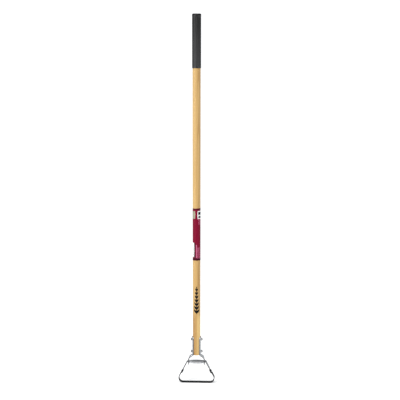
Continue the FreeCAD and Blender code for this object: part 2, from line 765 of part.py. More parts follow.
def write_parts(parts):
    doc.recompute()
    for thing in doc.Objects:
        if {"Invalid", "Error"} & set(thing.State):
            raise RuntimeError(f"{thing.Label} failed: {thing.State}")
    for thing in parts:
        if thing.Shape.isNull() or not thing.Shape.isValid() or len(thing.Shape.Solids) != 1:
            raise RuntimeError(f"{thing.Label} is not one sound solid")
    os.makedirs("parts", exist_ok=True)
    for thing in parts:
        thing.Shape.exportStep(f"parts/{thing.Label}.step")
        box = thing.Shape.BoundBox
        print(f"{thing.Label}: {thing.Shape.Volume / 1000:.2f} cm3, "
              f"X {box.XMin:.1f} to {box.XMax:.1f}, Y {box.YMin:.1f} to {box.YMax:.1f}, "
              f"Z {box.ZMin:.1f} to {box.ZMax:.1f}")


sheet = fill_sheets()
parts = [make_handle(), make_grip(), make_label()]
parts += [make_strap("strap_left", True), make_strap("strap_right", False)]
for level in ("upper", "lower"):
    parts += [make_bolt(f"{level}_bolt", f"{level}_bolt_height")]
    parts += [make_nut(f"{level}_nut", f"{level}_bolt_height")]
parts += [make_frame(), make_blade()]
parts += [make_rivet("rivet_left", -1), make_rivet("rivet_right", 1)]
write_parts(parts)
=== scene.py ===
import math

import bmesh
import bpy
from bpy.props import FloatProperty, FloatVectorProperty, IntProperty, PointerProperty
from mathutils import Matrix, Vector


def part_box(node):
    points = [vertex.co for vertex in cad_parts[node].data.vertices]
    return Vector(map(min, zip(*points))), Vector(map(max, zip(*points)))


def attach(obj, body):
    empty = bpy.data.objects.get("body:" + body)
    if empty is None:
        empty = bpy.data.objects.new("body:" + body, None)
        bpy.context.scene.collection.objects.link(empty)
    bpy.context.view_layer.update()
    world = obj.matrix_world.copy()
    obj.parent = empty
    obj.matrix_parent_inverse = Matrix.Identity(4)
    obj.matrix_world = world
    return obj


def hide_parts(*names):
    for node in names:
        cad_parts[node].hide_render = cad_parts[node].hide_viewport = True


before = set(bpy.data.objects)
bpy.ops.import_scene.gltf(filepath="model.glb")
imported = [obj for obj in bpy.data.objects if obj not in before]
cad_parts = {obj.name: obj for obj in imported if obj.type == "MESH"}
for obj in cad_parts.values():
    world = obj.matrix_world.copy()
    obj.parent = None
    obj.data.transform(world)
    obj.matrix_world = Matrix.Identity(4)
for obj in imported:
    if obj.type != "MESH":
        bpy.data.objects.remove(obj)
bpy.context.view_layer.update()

bl_info = {
    "name": "Stirrup Hoe",
    "version": (1, 0, 0),
    "blender": (4, 5, 0),
    "location": "3D View > Sidebar > Hoe",
    "description": "Dresses the hoe's frame with its wood, rubber, film and steel",
    "category": "Object",
}

MM = 0.001
HANDLE_LOW, HANDLE_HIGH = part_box("handle")
GRIP_LOW, GRIP_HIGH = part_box("grip")
LABEL_LOW, LABEL_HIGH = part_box("label")
HALF_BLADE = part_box("blade")[1].y
BAR_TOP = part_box("stirrup_frame")[1].z
LEVELS = {level: sum(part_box(f"{level}_nut"), Vector()).z / 2 for level in ("upper", "lower")}

# The handle: its radius at the lower end, and how much of each end has no taper.
END_RADIUS = 15.3 * MM
STRAIGHT_BELOW = 150 * MM
STRAIGHT_ABOVE = 400 * MM
# The film's radius grows by this much from its lower edge to its upper one.
FILM_TAPER = 0.23 * MM

# The label's inks, in the order of its materials.
DARK, PANEL, WHITE, PINK, BLACK = range(5)


# ---------------------------------------------------------------- sizes and colours


def length_of(name, text, millimetres):
    return FloatProperty(name=name, description=text, default=millimetres * MM, unit="LENGTH",
                         precision=5)


def colour_of(name, text, *channels):
    return FloatVectorProperty(name=name, description=text, default=channels, size=3,
                               subtype="COLOR", min=0, max=1)


class HoeSizes(bpy.types.PropertyGroup):
    """Sizes of what the frame leaves to the eye."""

    steel_edge: length_of("Steel edge", "Rounding of the stamped steel's edges", 0.35)
    blade_edge: length_of("Blade edge", "Rounding of the blade's edges", 0.16)
    hex_edge: length_of("Hexagon edge", "Rounding of heads and nuts", 0.22)
    flutes: IntProperty(name="Flutes", description="Flutes round the grip", default=12)
    flute_depth: length_of("Flute depth", "Depth of the grip's flutes", 0.9)
    flute_radius: length_of("Flute radius", "Radius of a flute's section", 3.6)
    rim: length_of("Rim", "Plain rim at the grip's closed end", 13.0)
    collar: length_of("Collar", "Plain band at the grip's open end", 7.0)
    ink: length_of("Ink", "Thickness of the printed ink", 0.04)
    slant: length_of("Slant", "How far the film's upper edge leans", 1.7)
    thread_pitch: length_of("Thread pitch", "Between two rings of a bolt's thread", 0.6)
    sprig_length: length_of("Sprig length", "Length of the printed sprig", 113.0)
    sprig_width: length_of("Sprig width", "Width of the printed sprig", 18.0)
    sprig_rise: length_of("Sprig rise", "From the handle's lower end to the sprig", 171.5)


class HoeColours(bpy.types.PropertyGroup):
    """Colours of the finishes."""

    wood_light: colour_of("Light wood", "Late growth of the ash", 0.68, 0.45, 0.165)
    wood_dark: colour_of("Dark wood", "Early growth of the ash", 0.40, 0.215, 0.062)
    rubber: colour_of("Rubber", "Grip", 0.0155, 0.0157, 0.0163)
    film: colour_of("Film", "Label's ground", 0.205, 0.002, 0.024)
    film_dark: colour_of("Dark band", "Label's edge bands", 0.06, 0.002, 0.011)
    panel: colour_of("Panel", "Label's pale panel", 0.36, 0.34, 0.235)
    ink_white: colour_of("White ink", "Label's white panels", 0.85, 0.85, 0.83)
    ink_pink: colour_of("Pink ink", "Label's small print", 0.62, 0.17, 0.3)
    ink_black: colour_of("Black ink", "Print on the wood and on the panels", 0.006, 0.006, 0.007)
    zinc: colour_of("Zinc", "Straps", 0.48, 0.49, 0.503)
    frame_zinc: colour_of("Frame zinc", "Stirrup frame", 0.42, 0.43, 0.445)
    # Bolts and nuts are the same zinc in two copies: the bolts, whose heads face the key light,
    # are painted dark as shade, and the nuts on the shaded side are painted light.
    bolt: colour_of("Bolts", "Bolts and their threads", 0.012, 0.0122, 0.0128)
    nut: colour_of("Nuts", "Nuts", 0.5, 0.5, 0.505)
    # The cut edges are bare steel, given much darker tones that paint the shade and dark
    # reflection along them.
    sheared: colour_of("Sheared steel", "Cut edges of the frame", 0.045, 0.045, 0.047)
    strap_edge: colour_of("Strap edges", "Cut edges of the straps", 0.12, 0.12, 0.124)
    rivet: colour_of("Rivets", "Rivets", 0.55, 0.55, 0.56)
    black: colour_of("Black", "Blade", 0.006, 0.006, 0.0068)
    bare: colour_of("Bare steel", "Ground and worn edges", 0.5, 0.49, 0.48)


# ---------------------------------------------------------------- materials


class Finish:
    """A material's node tree, put together call by call."""

    def __init__(self, name, **sockets):
        self.material = bpy.data.materials.new(name)
        self.material.use_nodes = True
        self.tree = self.material.node_tree
        self.shader = self.tree.nodes["Principled BSDF"]
        for socket in self.shader.inputs:
            key = socket.name.lower().replace(" ", "_")
            if key in sockets:
                socket.default_value = sockets[key]

    def set(self, node, values):
        for socket, value in values.items():
            if isinstance(value, bpy.types.NodeSocket):
                self.tree.links.new(value, node.inputs[socket])
            else:
                node.inputs[socket].default_value = value

    def add(self, kind, values=None, output=0, **settings):
        node = self.tree.nodes.new("ShaderNode" + kind)
        for key, value in settings.items():
            setattr(node, key, value)
        self.set(node, values or {})
        return node.outputs[output]

    def place(self, scale=(1, 1, 1), turn=(0, 0, 0)):
        """Object coordinates, scaled and turned."""
        source = self.add("TexCoord", output=3)
        return self.add("Mapping", {"Vector": source, "Scale": scale, "Rotation": turn})

    def axis(self, name):
        return self.add("SeparateXYZ", {0: self.add("TexCoord", output=3)}, "XYZ".index(name))

    def noise(self, scale, stretch=(1, 1, 1), detail=3.0, rough=0.55):
        values = {"Vector": self.place(stretch), "Scale": scale, "Detail": detail,
                  "Roughness": rough}
        return self.add("TexNoise", values)

    def maths(self, operation, first, second=0.0, third=0.0):
        return self.add("Math", {0: first, 1: second, 2: third}, operation=operation)

    def between(self, value, low, high, new_low=0.0, new_high=1.0):
        """The value stretched smoothly from one range to another, and held inside it."""
        values = {"Value": value, "From Min": low, "From Max": high,
                  "To Min": new_low, "To Max": new_high}
        return self.add("MapRange", values, interpolation_type="SMOOTHSTEP")

    def mix(self, factor, first, second):
        values = {0: factor, 6: rgba(first), 7: rgba(second)}
        return self.add("Mix", values, 2, data_type="RGBA")

    def relief(self, height, millimetres, strength):
        values = {"Height": height, "Distance": millimetres * MM, "Strength": strength}
        return self.add("Bump", values)

    def done(self, colour, roughness=None, normal=None):
        for socket, value in (("Base Color", colour), ("Roughness", roughness),
                              ("Normal", normal)):
            if value is not None:
                self.set(self.shader, {socket: value})
        return self.material


def rgba(colour):
    return colour if isinstance(colour, bpy.types.NodeSocket) else (*colour, 1.0)


def scaled(colour, share, lift=0.0):
    """A colour made lighter or darker, channel by channel."""
    return tuple(min(1.0, channel * share + lift) for channel in colour)


def ash_wood(name, colours, end_grain=False):
    """Lacquered ash: growth rings cut lengthwise by the turning, with short dark pores."""
    finish = Finish(name, coat_weight=0.15, coat_roughness=0.2, specular_ior_level=0.3)
    x = finish.axis("X")
    y = finish.axis("Y")
    z = finish.axis("Z")
    # The pith runs outside the pole and leans a little, so rings run out along it.
    pith_x = finish.maths("MULTIPLY_ADD", z, 0.006, 31 * MM)
    pith_y = finish.maths("MULTIPLY_ADD", z, -0.009, -52 * MM)
    side = finish.maths("POWER", finish.maths("SUBTRACT", x, pith_x), 2.0)
    deep = finish.maths("POWER", finish.maths("SUBTRACT", y, pith_y), 2.0)
    reach = finish.maths("SQRT", finish.maths("ADD", side, deep))
    sway = finish.noise(9.0, (1.0, 1.0, 0.16), 4.0)
    wander = finish.maths("MULTIPLY_ADD", sway, 6 * MM, reach)
    ring_width = 2.9 * MM
    ring = finish.maths("FRACT", finish.maths("DIVIDE", wander, ring_width))
    early = finish.between(ring, 0.0, 0.75, 1.0, 0.0)
    late = finish.between(ring, 0.9, 1.0)
    band = finish.maths("MAXIMUM", early, late)

    stretch = (1.0, 1.0, 1.0) if end_grain else (1.0, 1.0, 0.03)
    pores = finish.noise(1500.0, stretch, 2.0)
    pores = finish.between(pores, 0.58, 0.7)
    pores = finish.maths("MULTIPLY", pores, finish.between(band, 0.2, 0.9, 0.25, 1.0))
    fibre = finish.noise(420.0, (1.0, 1.0, 0.012), 5.0, 0.7)
    tone = finish.noise(3.2, (2.5, 2.5, 1.0), 2.0)

    colour = finish.mix(finish.maths("MULTIPLY", band, 0.8), colours.wood_light,
                        colours.wood_dark)
    colour = finish.mix(finish.between(fibre, 0.3, 0.75, 0.0, 0.32), colour,
                        colours.wood_dark)
    colour = finish.mix(finish.between(tone, 0.35, 0.7, 0.0, 0.38), colour,
                        (0.66, 0.44, 0.175))
    colour = finish.mix(finish.maths("MULTIPLY", pores, 0.4), colour, (0.36, 0.19, 0.06))
    # The darker heart is on the right, and crosses to the left beside the sprig.
    turn_low, turn_high = 280 * MM, 410 * MM
    swap = finish.maths("MULTIPLY_ADD", sway, 0.1, z)
    swap = finish.between(swap, turn_low, turn_high, -1.0, 1.0)
    heart = finish.between(finish.maths("MULTIPLY", x, swap), -13 * MM, 13 * MM)
    heart = finish.maths("MULTIPLY", heart, finish.between(swap, -1.0, 1.0, 0.9, 0.35))
    colour = finish.mix(heart, colour, colours.wood_dark)
    pale = finish.maths("MULTIPLY", finish.between(x, -2 * MM, 12 * MM, 0.0, 0.65),
                        finish.between(swap, -1.0, 0.2, 1.0, 0.0))
    colour = finish.mix(pale, colour, (0.88, 0.62, 0.25))
    if end_grain:
        colour = finish.mix(0.45, colour, (0.42, 0.25, 0.1))
    roughness = finish.between(fibre, 0.2, 0.8, 0.3, 0.46)
    height = finish.maths("SUBTRACT", fibre, finish.maths("MULTIPLY", pores, 1.5))
    return finish.done(colour, roughness, finish.relief(height, 0.05, 0.5))


def grip_rubber(colours, flute_floor):
    """Moulded rubber: fine grain, dusty lands, painted shade in the flutes and at the closed
    end's rim, two painted highlight lines, greyer toward its lower end and darker toward its
    upper end.
    """
    finish = Finish("grip_rubber", specular_ior_level=0.3)
    grain = finish.noise(1900.0, detail=3.0)
    cloud = finish.noise(38.0, (1, 1, 0.35), 4.0)
    dust = finish.maths("MULTIPLY", finish.between(cloud, 0.35, 0.75), 0.5)
    colour = finish.mix(dust, colours.rubber, scaled(colours.rubber, 1.6, 0.005))
    x, y, rise = (finish.axis(name) for name in "XYZ")
    reach = finish.maths("SQRT", finish.maths("ADD", finish.maths("POWER", x, 2.0),
                                              finish.maths("POWER", y, 2.0)))
    # Painted shade in the floors of the flutes.
    flute_shade = finish.between(reach, flute_floor, flute_floor + 0.7 * MM, 0.6, 0.0)
    colour = finish.mix(flute_shade, colour, (0.002, 0.002, 0.0022))
    # Two painted highlight lines, stronger toward the lower end; then greyer toward the lower
    # end and darker toward the upper end.
    low, high = GRIP_LOW.z, GRIP_HIGH.z
    tall = high - low
    for place, amount in ((-4.6 * MM, 0.3), (7.6 * MM, 0.2)):
        line = finish.maths("ABSOLUTE", finish.maths("SUBTRACT", x, place))
        line = finish.between(line, 0.5 * MM, 2.4 * MM, amount, 0.0)
        highlight_line = finish.maths("MULTIPLY", line, finish.between(rise, low, high, 1.0, 0.35))
        colour = finish.mix(highlight_line, colour, (0.085, 0.085, 0.087))
    greyer_below = finish.between(rise, low, low + 0.5 * tall, 0.25, 0.0)
    colour = finish.mix(greyer_below, colour, (0.04, 0.04, 0.041))
    deep = finish.between(rise, low + 0.35 * tall, high - 8 * MM, 0.0, 0.75)
    colour = finish.mix(deep, colour, (0.002, 0.002, 0.0022))
    # Painted shade round the rim of the closed end, which is also made rougher.
    rim = finish.between(rise, high - 5 * MM, high - 2.5 * MM, 0.0, 0.92)
    colour = finish.mix(rim, colour, (0.0004, 0.0004, 0.0004))
    speck = finish.between(finish.noise(5200.0, detail=1.0), 0.68, 0.76)
    colour = finish.mix(finish.maths("MULTIPLY", speck, 0.25), colour, (0.16, 0.16, 0.165))
    roughness = finish.between(cloud, 0.3, 0.8, 0.28, 0.4)
    roughness = finish.maths("MULTIPLY_ADD", rim, 0.5, roughness)
    return finish.done(colour, roughness, finish.relief(grain, 0.07, 0.7))


def printed_film(name, colour, shade=0.72):
    """Glossy printed film, with the faint waves of a sleeve shrunk on to wood."""
    finish = Finish(name, specular_ior_level=0.08)
    wave = finish.noise(70.0, (1, 1, 0.3), 2.0)
    dots = finish.noise(2600.0, detail=1.0)
    darker = scaled(colour, shade)
    tone = finish.mix(finish.between(dots, 0.35, 0.7, 0.0, 0.5), colour, darker)
    tone = finish.mix(finish.between(finish.noise(11.0), 0.4, 0.7, 0.0, 0.35), tone, darker)
    roughness = finish.between(wave, 0.3, 0.7, 0.22, 0.34)
    return finish.done(tone, roughness, finish.relief(wave, 0.12, 0.35))


def wood_ink(colours):
    """Ink pressed into the wood: it breaks up along the grain."""
    finish = Finish("wood_ink", specular_ior_level=0.08)
    worn = finish.noise(900.0, (1, 1, 0.06), 3.0)
    faded = finish.between(worn, 0.62, 0.8, 0.0, 0.35)
    colour = finish.mix(faded, colours.ink_black, (0.12, 0.07, 0.03))
    return finish.done(colour, finish.between(worn, 0.3, 0.8, 0.38, 0.55))


def plated_steel(name, colour, rough=0.3, cloud=0.5, along=(1, 1, 0.05), painted_light=None):
    """Zinc on rolled steel: rolling lines, faint clouds in the plating, a few scratches."""
    finish = Finish(name, metallic=1.0)
    rolling = finish.noise(1500.0, along, 4.0, 0.65)
    clouds = finish.noise(140.0, detail=5.0, rough=0.6)
    bloom = finish.between(clouds, 0.42, 0.72)
    white = scaled(colour, 1.12, 0.02)
    tone = finish.mix(finish.maths("MULTIPLY", bloom, cloud), colour, scaled(colour, 0.66))
    tone = finish.mix(finish.between(rolling, 0.45, 0.8, 0.0, 0.4), tone, white)
    scratch_path = finish.place((1.0, 1.0, 0.16), (0.5, 0.3, 0.7))
    scratch = finish.add("TexNoise", {"Vector": scratch_path, "Scale": 2300.0, "Detail": 1.0})
    scratch = finish.between(scratch, 0.7, 0.76)
    tone = finish.mix(finish.maths("MULTIPLY", scratch, 0.35), tone, white)
    # Some parts get painted highlights and painted dark reflections over the plating's tone.
    if painted_light:
        tone = painted_light(finish, tone)
    uneven = finish.maths("MULTIPLY_ADD", bloom, 0.14, rough - 0.04)
    uneven = finish.maths("MULTIPLY_ADD", rolling, 0.1, uneven)
    height = finish.maths("SUBTRACT", rolling, scratch)
    return finish.done(tone, uneven, finish.relief(height, 0.02, 0.55))


def bar_painted_reflections(finish, tone):
    """Painted reflections on the crossbar's plating: a painted highlight by its left bend and
    toward the front, a painted dark reflection along the middle of its back.
    """
    across, depth = finish.axis("X"), finish.axis("Y")
    across = finish.maths("MULTIPLY_ADD", finish.noise(260.0, detail=4.0), 5 * MM, across)
    face = finish.between(finish.axis("Z"), BAR_TOP - 1.6 * MM, BAR_TOP - 0.4 * MM)
    # Painted highlight on the top face, by the left bend and toward the front.
    left = finish.between(across, -28 * MM, -9 * MM)
    front = finish.between(depth, -16 * MM, -2 * MM, 0.3, 0.0)
    painted_highlight = finish.maths("MAXIMUM", finish.maths("SUBTRACT", 1.0, left), front)
    tone = finish.mix(finish.maths("MULTIPLY", painted_highlight, face), tone, (0.95, 0.95, 0.96))
    # Painted dark reflection along the middle of the top face, toward its back.
    middle = finish.between(finish.maths("ABSOLUTE", across), 10 * MM, 27 * MM, 0.85, 0.0)
    back = finish.maths("MULTIPLY", finish.between(depth, 9 * MM, 15 * MM), face)
    return finish.mix(finish.maths("MULTIPLY", middle, back), tone, (0.05, 0.05, 0.053))


def bend_painted_highlight(finish, tone):
    """A painted highlight on the straps' plating where they bow out below the wood."""
    ragged = finish.noise(300.0, detail=3.0)
    height = finish.maths("MULTIPLY_ADD", ragged, 2 * MM, finish.axis("Z"))
    start = HANDLE_LOW.z
    above = finish.between(height, start + 1 * MM, start + 6 * MM)
    below = finish.between(height, start - 14 * MM, start - 10 * MM)
    painted_highlight = finish.maths("MULTIPLY", finish.maths("SUBTRACT", 1.0, above), below)
    return finish.mix(painted_highlight, tone, (0.95, 0.95, 0.96))


def blackened_steel(colours):
    """The blade's black finish, worn through along both cutting edges."""
    finish = Finish("black_steel", specular_ior_level=0.08)
    across = finish.maths("ABSOLUTE", finish.axis("Y"))
    ragged = finish.noise(420.0, detail=5.0, rough=0.65)
    ragged = finish.maths("MULTIPLY_ADD", ragged, 1.6 * MM, across)
    worn = finish.between(ragged, HALF_BLADE + 0.72 * MM, HALF_BLADE + 1.1 * MM)
    foot = finish.between(finish.axis("Z"), 3 * MM, 20 * MM, 0.9, 0.1)
    worn = finish.maths("MULTIPLY", worn, foot)
    scuff = finish.noise(900.0, (0.06, 1, 1), 3.0)
    scuffed = finish.between(scuff, 0.66, 0.78, 0.0, 0.3)
    cloud = finish.noise(60.0, detail=4.0)
    tone = finish.mix(finish.between(cloud, 0.3, 0.75), colours.black,
                      scaled(colours.black, 2.1))
    tone = finish.mix(scuffed, tone, (0.06, 0.06, 0.063))
    tone = finish.mix(worn, tone, colours.bare)
    finish.set(finish.shader, {"Metallic": finish.between(worn, 0.2, 0.7)})
    roughness = finish.maths("ADD", finish.between(cloud, 0.3, 0.8, 0.5, 0.62),
                             finish.maths("MULTIPLY", scuffed, 0.3))
    height = finish.maths("SUBTRACT", finish.noise(1300.0, detail=2.0), scuffed)
    return finish.done(tone, roughness, finish.relief(height, 0.03, 0.5))


def studio_floor():
    """Pale paper that gives back a little light of its own."""
    finish = Finish("studio_floor", roughness=0.75, specular_ior_level=0.15,
                    emission_color=(1.0, 1.0, 1.0, 1.0), emission_strength=0.32)
    soft = finish.noise(0.8, detail=2.0)
    return finish.done(finish.mix(soft, (0.90, 0.90, 0.90), (0.94, 0.94, 0.94)))


# ---------------------------------------------------------------- meshes


def put(name, mesh, materials=()):
    """A new object at the origin, with its place in its mesh."""
    thing = bpy.data.objects.new(name, mesh)
    bpy.context.scene.collection.objects.link(thing)
    for material in materials:
        mesh.materials.append(material)
    return thing


def settle(thing):
    """The object's evaluated shape as its own plain mesh, with no modifier left."""
    graph = bpy.context.evaluated_depsgraph_get()
    mesh = bpy.data.meshes.new_from_object(thing.evaluated_get(graph), depsgraph=graph)
    thing.modifiers.clear()
    thing.data = mesh
    mesh.name = thing.name
    return thing


def shade(mesh, degrees):
    """Smooth shading, with edges sharper than the angle kept crisp."""
    mesh.polygons.foreach_set("use_smooth", [True] * len(mesh.polygons))
    mesh.set_sharp_from_angle(angle=math.radians(degrees))


def finished_mesh(name, shape, degrees=50.0):
    """The worked shape as a mesh, shaded smooth."""
    mesh = bpy.data.meshes.new(name)
    shape.to_mesh(mesh)
    shape.free()
    shade(mesh, degrees)
    return mesh


def eased_copy(node, width, materials, is_cut=None):
    """The frame's own shape with its sharp edges rounded, as they are on stamped steel.
    is_cut says of a face's middle and normal whether the shears left it bare."""
    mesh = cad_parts[node].data.copy()
    mesh.materials.clear()
    shape = bmesh.new()
    shape.from_mesh(mesh)
    bmesh.ops.remove_doubles(shape, verts=shape.verts, dist=0.002 * MM)
    flat = math.radians(0.6)
    bmesh.ops.dissolve_limit(shape, angle_limit=flat, verts=shape.verts, edges=shape.edges)
    for face in shape.faces:
        bare = is_cut and is_cut(face.calc_center_median(), face.normal)
        face.material_index = 1 if bare else 0
    shape.to_mesh(mesh)
    shape.free()
    for name in ("custom_normal", "sharp_edge", "sharp_face"):
        attribute = mesh.attributes.get(name)
        if attribute is not None:
            mesh.attributes.remove(attribute)
    mesh.polygons.foreach_set("use_smooth", [True] * len(mesh.polygons))
    thing = put(f"{node}_finished", mesh, materials)
    bevel = thing.modifiers.new("edges", "BEVEL")
    bevel.width = width
    bevel.segments = 2
    bevel.limit_method = "ANGLE"
    bevel.angle_limit = math.radians(28)
    bevel.harden_normals = True
    return settle(thing)


def lathe(name, profile, segments, materials, soft):
    """A turned shape from pairs of radius and height. It closes on the axis at both ends."""
    shape = bmesh.new()
    rings = []
    for radius, height in profile:
        if radius == 0:
            rings.append([shape.verts.new((0, 0, height))])
            continue
        turns = (math.tau * number / segments for number in range(segments))
        ring = [shape.verts.new((radius * math.cos(a), radius * math.sin(a), height))
                for a in turns]
        rings.append(ring)
    for low, high in zip(rings, rings[1:]):
        for number in range(segments):
            after = (number + 1) % segments
            if len(low) == 1:
                shape.faces.new((low[0], high[after], high[number]))
            elif len(high) == 1:
                shape.faces.new((low[number], low[after], high[0]))
            else:
                shape.faces.new((low[number], low[after], high[after], high[number]))
    bmesh.ops.recalc_face_normals(shape, faces=shape.faces)
    return put(name, finished_mesh(name, shape, soft), materials)


def rounded(start, end, centre, steps):
    """Points of a quarter round between two corners of a profile."""
    first = math.atan2(start[1] - centre[1], start[0] - centre[0])
    last = math.atan2(end[1] - centre[1], end[0] - centre[0])
    radius = math.dist(start, centre)
    points = []
    for step in range(steps + 1):
        angle = first + (last - first) * step / steps
        points.append((centre[0] + radius * math.cos(angle),
                       centre[1] + radius * math.sin(angle)))
    return points


def wrapped_block(shape, across, up, radius, thickness, outline, slot):
    """A thin closed plate bent round the handle. across is a pair of angles in degrees,
    counted from the front towards +X; outline may narrow them at a share of the height."""
    rows, degrees_a_column = 24, 4
    count = max(3, round(abs(across[1] - across[0]) / degrees_a_column))
    layers = []
    for reach in (radius, radius + thickness):
        layer = []
        for row in range(rows + 1):
            share = row / rows
            left, right = outline(share) if outline else across
            line = []
            for column in range(count + 1):
                angle = math.radians(left + (right - left) * column / count)
                height = up[0] + (up[1] - up[0]) * share
                place = (reach * math.sin(angle), -reach * math.cos(angle), height)
                line.append(shape.verts.new(place))
            layer.append(line)
        layers.append(layer)
    inner, outer = layers
    faces = []
    for row in range(rows):
        for column in range(count):
            for layer, flip in ((outer, False), (inner, True)):
                face = [layer[row][column], layer[row][column + 1],
                        layer[row + 1][column + 1], layer[row + 1][column]]
                faces.append(shape.faces.new(face[::-1] if flip else face))
    rim = [(0, column) for column in range(count)]
    rim += [(row, count) for row in range(rows)]
    rim += [(rows, column) for column in range(count, 0, -1)]
    rim += [(row, 0) for row in range(rows, 0, -1)]
    for (row, column), (next_row, next_column) in zip(rim, rim[1:] + rim[:1]):
        face = (inner[row][column], inner[next_row][next_column],
                outer[next_row][next_column], outer[row][column])
        faces.append(shape.faces.new(face))
    for face in faces:
        face.material_index = slot
        face.smooth = True


# ---------------------------------------------------------------- geometry node trees


class Tree:
    """A geometry node group with named inputs. It ends in Realize Instances and Set
    Material."""

    def __init__(self, name, inputs, has_mesh=True):
        self.group = bpy.data.node_groups.new(name, "GeometryNodeTree")
        face = self.group.interface
        if has_mesh:
            face.new_socket("Mesh", in_out="INPUT", socket_type="NodeSocketGeometry")
        kinds = {int: "NodeSocketInt", float: "NodeSocketFloat", tuple: "NodeSocketVector"}
        self.names = {}
        for text, value in inputs.items():
            socket = face.new_socket(text, in_out="INPUT", socket_type=kinds[type(value)])
            socket.default_value = value
            self.names[text] = (socket.identifier, value)
        socket = face.new_socket("Material", in_out="INPUT",
                                 socket_type="NodeSocketMaterial")
        self.material_id = socket.identifier
        face.new_socket("Mesh", in_out="OUTPUT", socket_type="NodeSocketGeometry")
        self.start = self.group.nodes.new("NodeGroupInput")

    def given(self, name):
        return self.start.outputs[name]

    def set(self, node, values):
        for socket, value in values.items():
            if isinstance(value, bpy.types.NodeSocket):
                self.group.links.new(value, node.inputs[socket])
            else:
                node.inputs[socket].default_value = value

    def add(self, kind, values=None, output=0, **settings):
        node = self.group.nodes.new(kind)
        for key, value in settings.items():
            setattr(node, key, value)
        self.set(node, values or {})
        return node.outputs[output]

    def maths(self, operation, first, second=0.0, third=0.0):
        return self.add("ShaderNodeMath", {0: first, 1: second, 2: third}, operation=operation)

    def between(self, value, low, high, new_low=0.0, new_high=1.0):
        values = {"Value": value, "From Min": low, "From Max": high,
                  "To Min": new_low, "To Max": new_high}
        return self.add("ShaderNodeMapRange", values, interpolation_type="SMOOTHSTEP")

    def parts_of(self, vector):
        node = self.group.nodes.new("ShaderNodeSeparateXYZ")
        self.set(node, {0: vector})
        return node.outputs[0], node.outputs[1], node.outputs[2]

    def vector(self, x=0.0, y=0.0, z=0.0):
        return self.add("ShaderNodeCombineXYZ", {0: x, 1: y, 2: z})

    def end(self, geometry):
        geometry = self.add("GeometryNodeRealizeInstances", {0: geometry})
        geometry = self.add("GeometryNodeSetMaterial", {0: geometry, 2: self.given("Material")})
        finish = self.group.nodes.new("NodeGroupOutput")
        self.set(finish, {0: geometry})

    def run(self, thing, material, **values):
        """Give the tree to an object, set its inputs and keep the plain mesh it makes."""
        modifier = thing.modifiers.new(self.group.name, "NODES")
        modifier.node_group = self.group
        chosen = {text: value for text, (_, value) in self.names.items()}
        chosen.update({key.replace("_", " "): value for key, value in values.items()})
        for text, value in chosen.items():
            modifier[self.names[text][0]] = value
        modifier[self.material_id] = material
        return settle(thing)


def flute_tree():
    """Round flutes pressed into a turned sleeve, running out before both ends."""
    tree = Tree("flutes", {"count": 12, "depth": 0.9 * MM, "cutter": 3.6 * MM,
                           "start": 0.0, "stop": 1.0, "run": 2.5 * MM, "pitch radius": 0.018})
    x, y, z = tree.parts_of(tree.add("GeometryNodeInputPosition"))
    turn = tree.maths("DIVIDE", tree.maths("ARCTAN2", y, x), math.tau)
    step = tree.maths("MULTIPLY", turn, tree.given("count"))
    offset = tree.maths("SUBTRACT", step, tree.maths("ROUND", step))
    pitch = tree.maths("DIVIDE", tree.maths("MULTIPLY", tree.given("pitch radius"), math.tau),
                       tree.given("count"))
    away = tree.maths("MULTIPLY", offset, pitch)
    cutter = tree.given("cutter")
    square = tree.maths("SUBTRACT", tree.maths("MULTIPLY", cutter, cutter),
                        tree.maths("MULTIPLY", away, away))
    sag = tree.maths("SQRT", tree.maths("MAXIMUM", square, 0.0))
    floor = tree.maths("SUBTRACT", cutter, tree.given("depth"))
    groove = tree.maths("MAXIMUM", tree.maths("SUBTRACT", sag, floor), 0.0)
    low = tree.between(z, tree.given("start"),
                       tree.maths("ADD", tree.given("start"), tree.given("run")))
    high = tree.between(z, tree.maths("SUBTRACT", tree.given("stop"), tree.given("run")),
                        tree.given("stop"), 1.0, 0.0)
    reach = tree.maths("SQRT", tree.maths("ADD", tree.maths("MULTIPLY", x, x),
                                          tree.maths("MULTIPLY", y, y)))
    outside = tree.maths("GREATER_THAN", reach,
                         tree.maths("SUBTRACT", tree.given("pitch radius"), 1.2 * MM))
    amount = tree.maths("MULTIPLY", tree.maths("MULTIPLY", low, high), groove)
    amount = tree.maths("MULTIPLY", amount, outside)
    share = tree.maths("DIVIDE", amount, tree.maths("MAXIMUM", reach, 1e-6))
    shift = tree.maths("MULTIPLY", share, -1.0)
    move = tree.vector(tree.maths("MULTIPLY", x, shift), tree.maths("MULTIPLY", y, shift))
    moved = tree.add("GeometryNodeSetPosition", {"Geometry": tree.given("Mesh"),
                                                 "Offset": move})
    tree.end(moved)
    return tree


def wrap(tree, geometry, radius, turn, rise):
    """Bend a flat layout, X across and Z up with its thickness along Y, round the handle."""
    x, y, z = tree.parts_of(tree.add("GeometryNodeInputPosition"))
    angle = tree.maths("ADD", tree.maths("DIVIDE", x, radius), turn)
    reach = tree.maths("ADD", radius, y)
    place = tree.vector(tree.maths("MULTIPLY", reach, tree.maths("SINE", angle)),
                        tree.maths("MULTIPLY", tree.maths("MULTIPLY", reach,
                                                          tree.maths("COSINE", angle)), -1.0),
                        tree.maths("ADD", z, rise))
    return tree.add("GeometryNodeSetPosition", {"Geometry": geometry, "Position": place})


